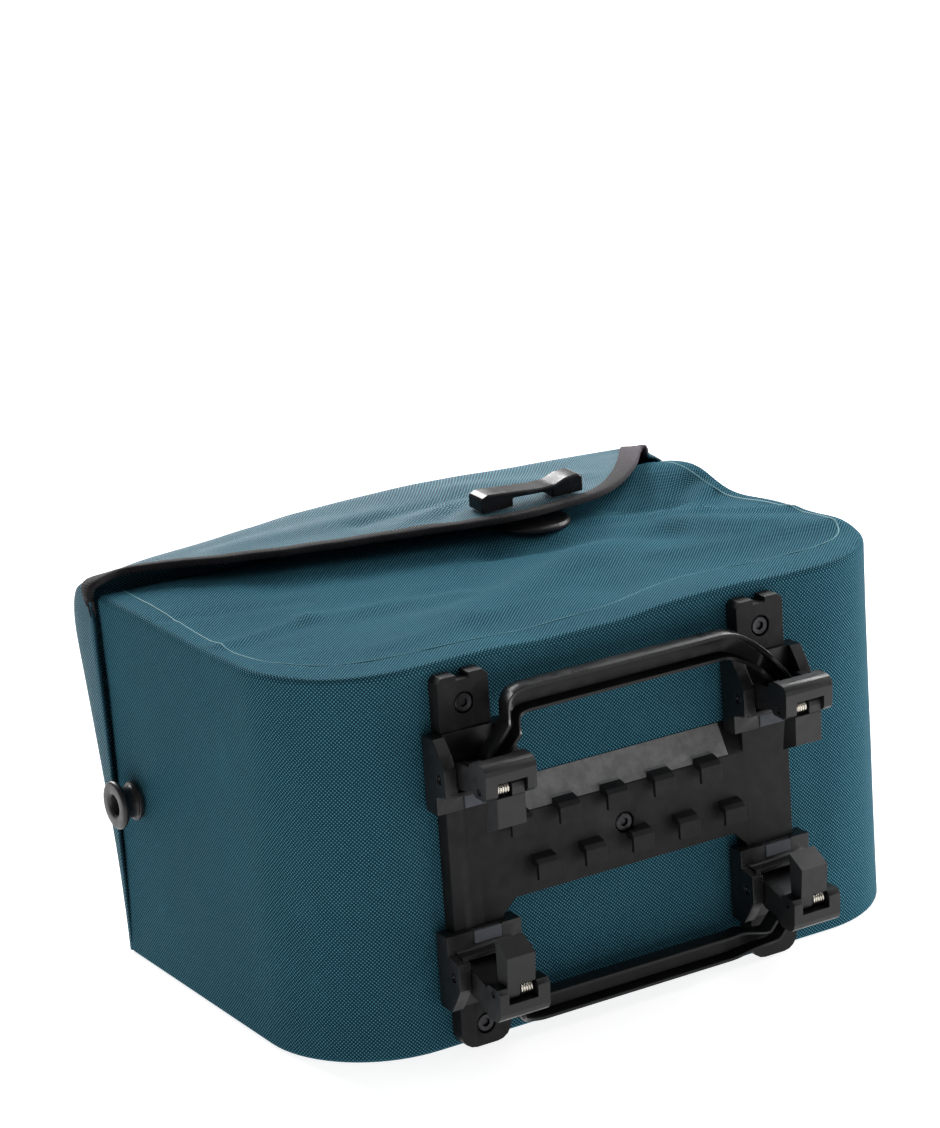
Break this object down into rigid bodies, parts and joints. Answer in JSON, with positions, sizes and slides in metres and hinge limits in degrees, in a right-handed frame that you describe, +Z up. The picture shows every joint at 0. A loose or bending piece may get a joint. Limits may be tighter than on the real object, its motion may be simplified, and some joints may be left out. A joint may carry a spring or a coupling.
{
  "type": "bicycle rack trunk bag",
  "caption": "Boxy fabric bag with a buckled flap and a clamp-on adapter plate with spring releases, lying on its side.",
  "frame": {"origin": "centre of the flat long side that the bag lies on, level with the surface below it", "axes": "+Z up as the bag lies; +X along the bag's length, to the right in the picture; -Y out of the base that carries the adapter plate, +Y out of the lidded mouth"},
  "size_m": [0.3748, 0.293, 0.2152],
  "materials": {
    "coated_fabric": "satin coated weave",
    "edge_binding": "ribbed tape",
    "black_plastic": "fine matte grain",
    "grey_rubber": "matte",
    "buckle_plastic": "satin",
    "steel": "bright drawn wire",
    "dark_steel": "blackened"
  },
  "bodies": {
    "bag": {"bag_body": "coated_fabric", "lid": "coated_fabric", "flap_binding": "edge_binding", "closure_disc": "black_plastic", "closure_buckle": "buckle_plastic", "strap_stud_left": "black_plastic", "strap_stud_right": "black_plastic", "base_plate": "black_plastic", "centre_screw": "dark_steel", "leg_screw_upper_left": "dark_steel", "bracket_upper_left": "black_plastic", "jaw_pad_upper_left": "grey_rubber", "bracket_pin_upper_left": "dark_steel", "leg_screw_upper_right": "dark_steel", "bracket_upper_right": "black_plastic", "jaw_pad_upper_right": "grey_rubber", "bracket_pin_upper_right": "dark_steel", "leg_screw_lower_left": "dark_steel", "bracket_lower_left": "black_plastic", "jaw_pad_lower_left": "grey_rubber", "bracket_pin_lower_left": "dark_steel", "leg_screw_lower_right": "dark_steel", "bracket_lower_right": "black_plastic", "jaw_pad_lower_right": "grey_rubber", "bracket_pin_lower_right": "dark_steel"},
    "upper_release": {"bail_upper": "black_plastic", "arm_upper_left": "black_plastic", "tongue_pin_upper_left": "dark_steel", "spring_upper_left": "steel", "arm_upper_right": "black_plastic", "tongue_pin_upper_right": "dark_steel", "spring_upper_right": "steel"},
    "lower_release": {"bail_lower": "black_plastic", "arm_lower_left": "black_plastic", "tongue_pin_lower_left": "dark_steel", "spring_lower_left": "steel", "arm_lower_right": "black_plastic", "tongue_pin_lower_right": "dark_steel", "spring_lower_right": "steel"},
    "upper_left_tongue": {"tongue_upper_left": "black_plastic"},
    "upper_right_tongue": {"tongue_upper_right": "black_plastic"},
    "lower_left_tongue": {"tongue_lower_left": "black_plastic"},
    "lower_right_tongue": {"tongue_lower_right": "black_plastic"}
  },
  "joints": [
    {"name": "upper_release_hinge", "type": "hinge", "parent": "bag", "child": "upper_release", "pos_m": [-0.01, -0.1215, 0.1425], "axis": [1, 0, 0], "range_deg": [-14, 0], "stiffness_Nm_per_rad": 0.4, "springref_deg": 14.32},
    {"name": "lower_release_hinge", "type": "hinge", "parent": "bag", "child": "lower_release", "pos_m": [-0.01, -0.1215, 0.0435], "axis": [1, 0, 0], "range_deg": [0, 6], "stiffness_Nm_per_rad": 0.4, "springref_deg": -14.32},
    {"name": "upper_left_tongue_hinge", "type": "hinge", "parent": "upper_release", "child": "upper_left_tongue", "pos_m": [-0.09425, -0.14597, 0.14129], "axis": [1, 0, 0], "range_deg": [0, 25], "stiffness_Nm_per_rad": 0.02, "springref_deg": -28.65},
    {"name": "upper_right_tongue_hinge", "type": "hinge", "parent": "upper_release", "child": "upper_right_tongue", "pos_m": [0.07425, -0.14597, 0.14129], "axis": [1, 0, 0], "range_deg": [0, 25], "stiffness_Nm_per_rad": 0.02, "springref_deg": -28.65},
    {"name": "lower_left_tongue_hinge", "type": "hinge", "parent": "lower_release", "child": "lower_left_tongue", "pos_m": [-0.09425, -0.14591, 0.04129], "axis": [1, 0, 0], "range_deg": [-25, 0], "stiffness_Nm_per_rad": 0.02, "springref_deg": 28.65},
    {"name": "lower_right_tongue_hinge", "type": "hinge", "parent": "lower_release", "child": "lower_right_tongue", "pos_m": [0.07425, -0.14591, 0.04129], "axis": [1, 0, 0], "range_deg": [-25, 0], "stiffness_Nm_per_rad": 0.02, "springref_deg": 28.65}
  ]
}
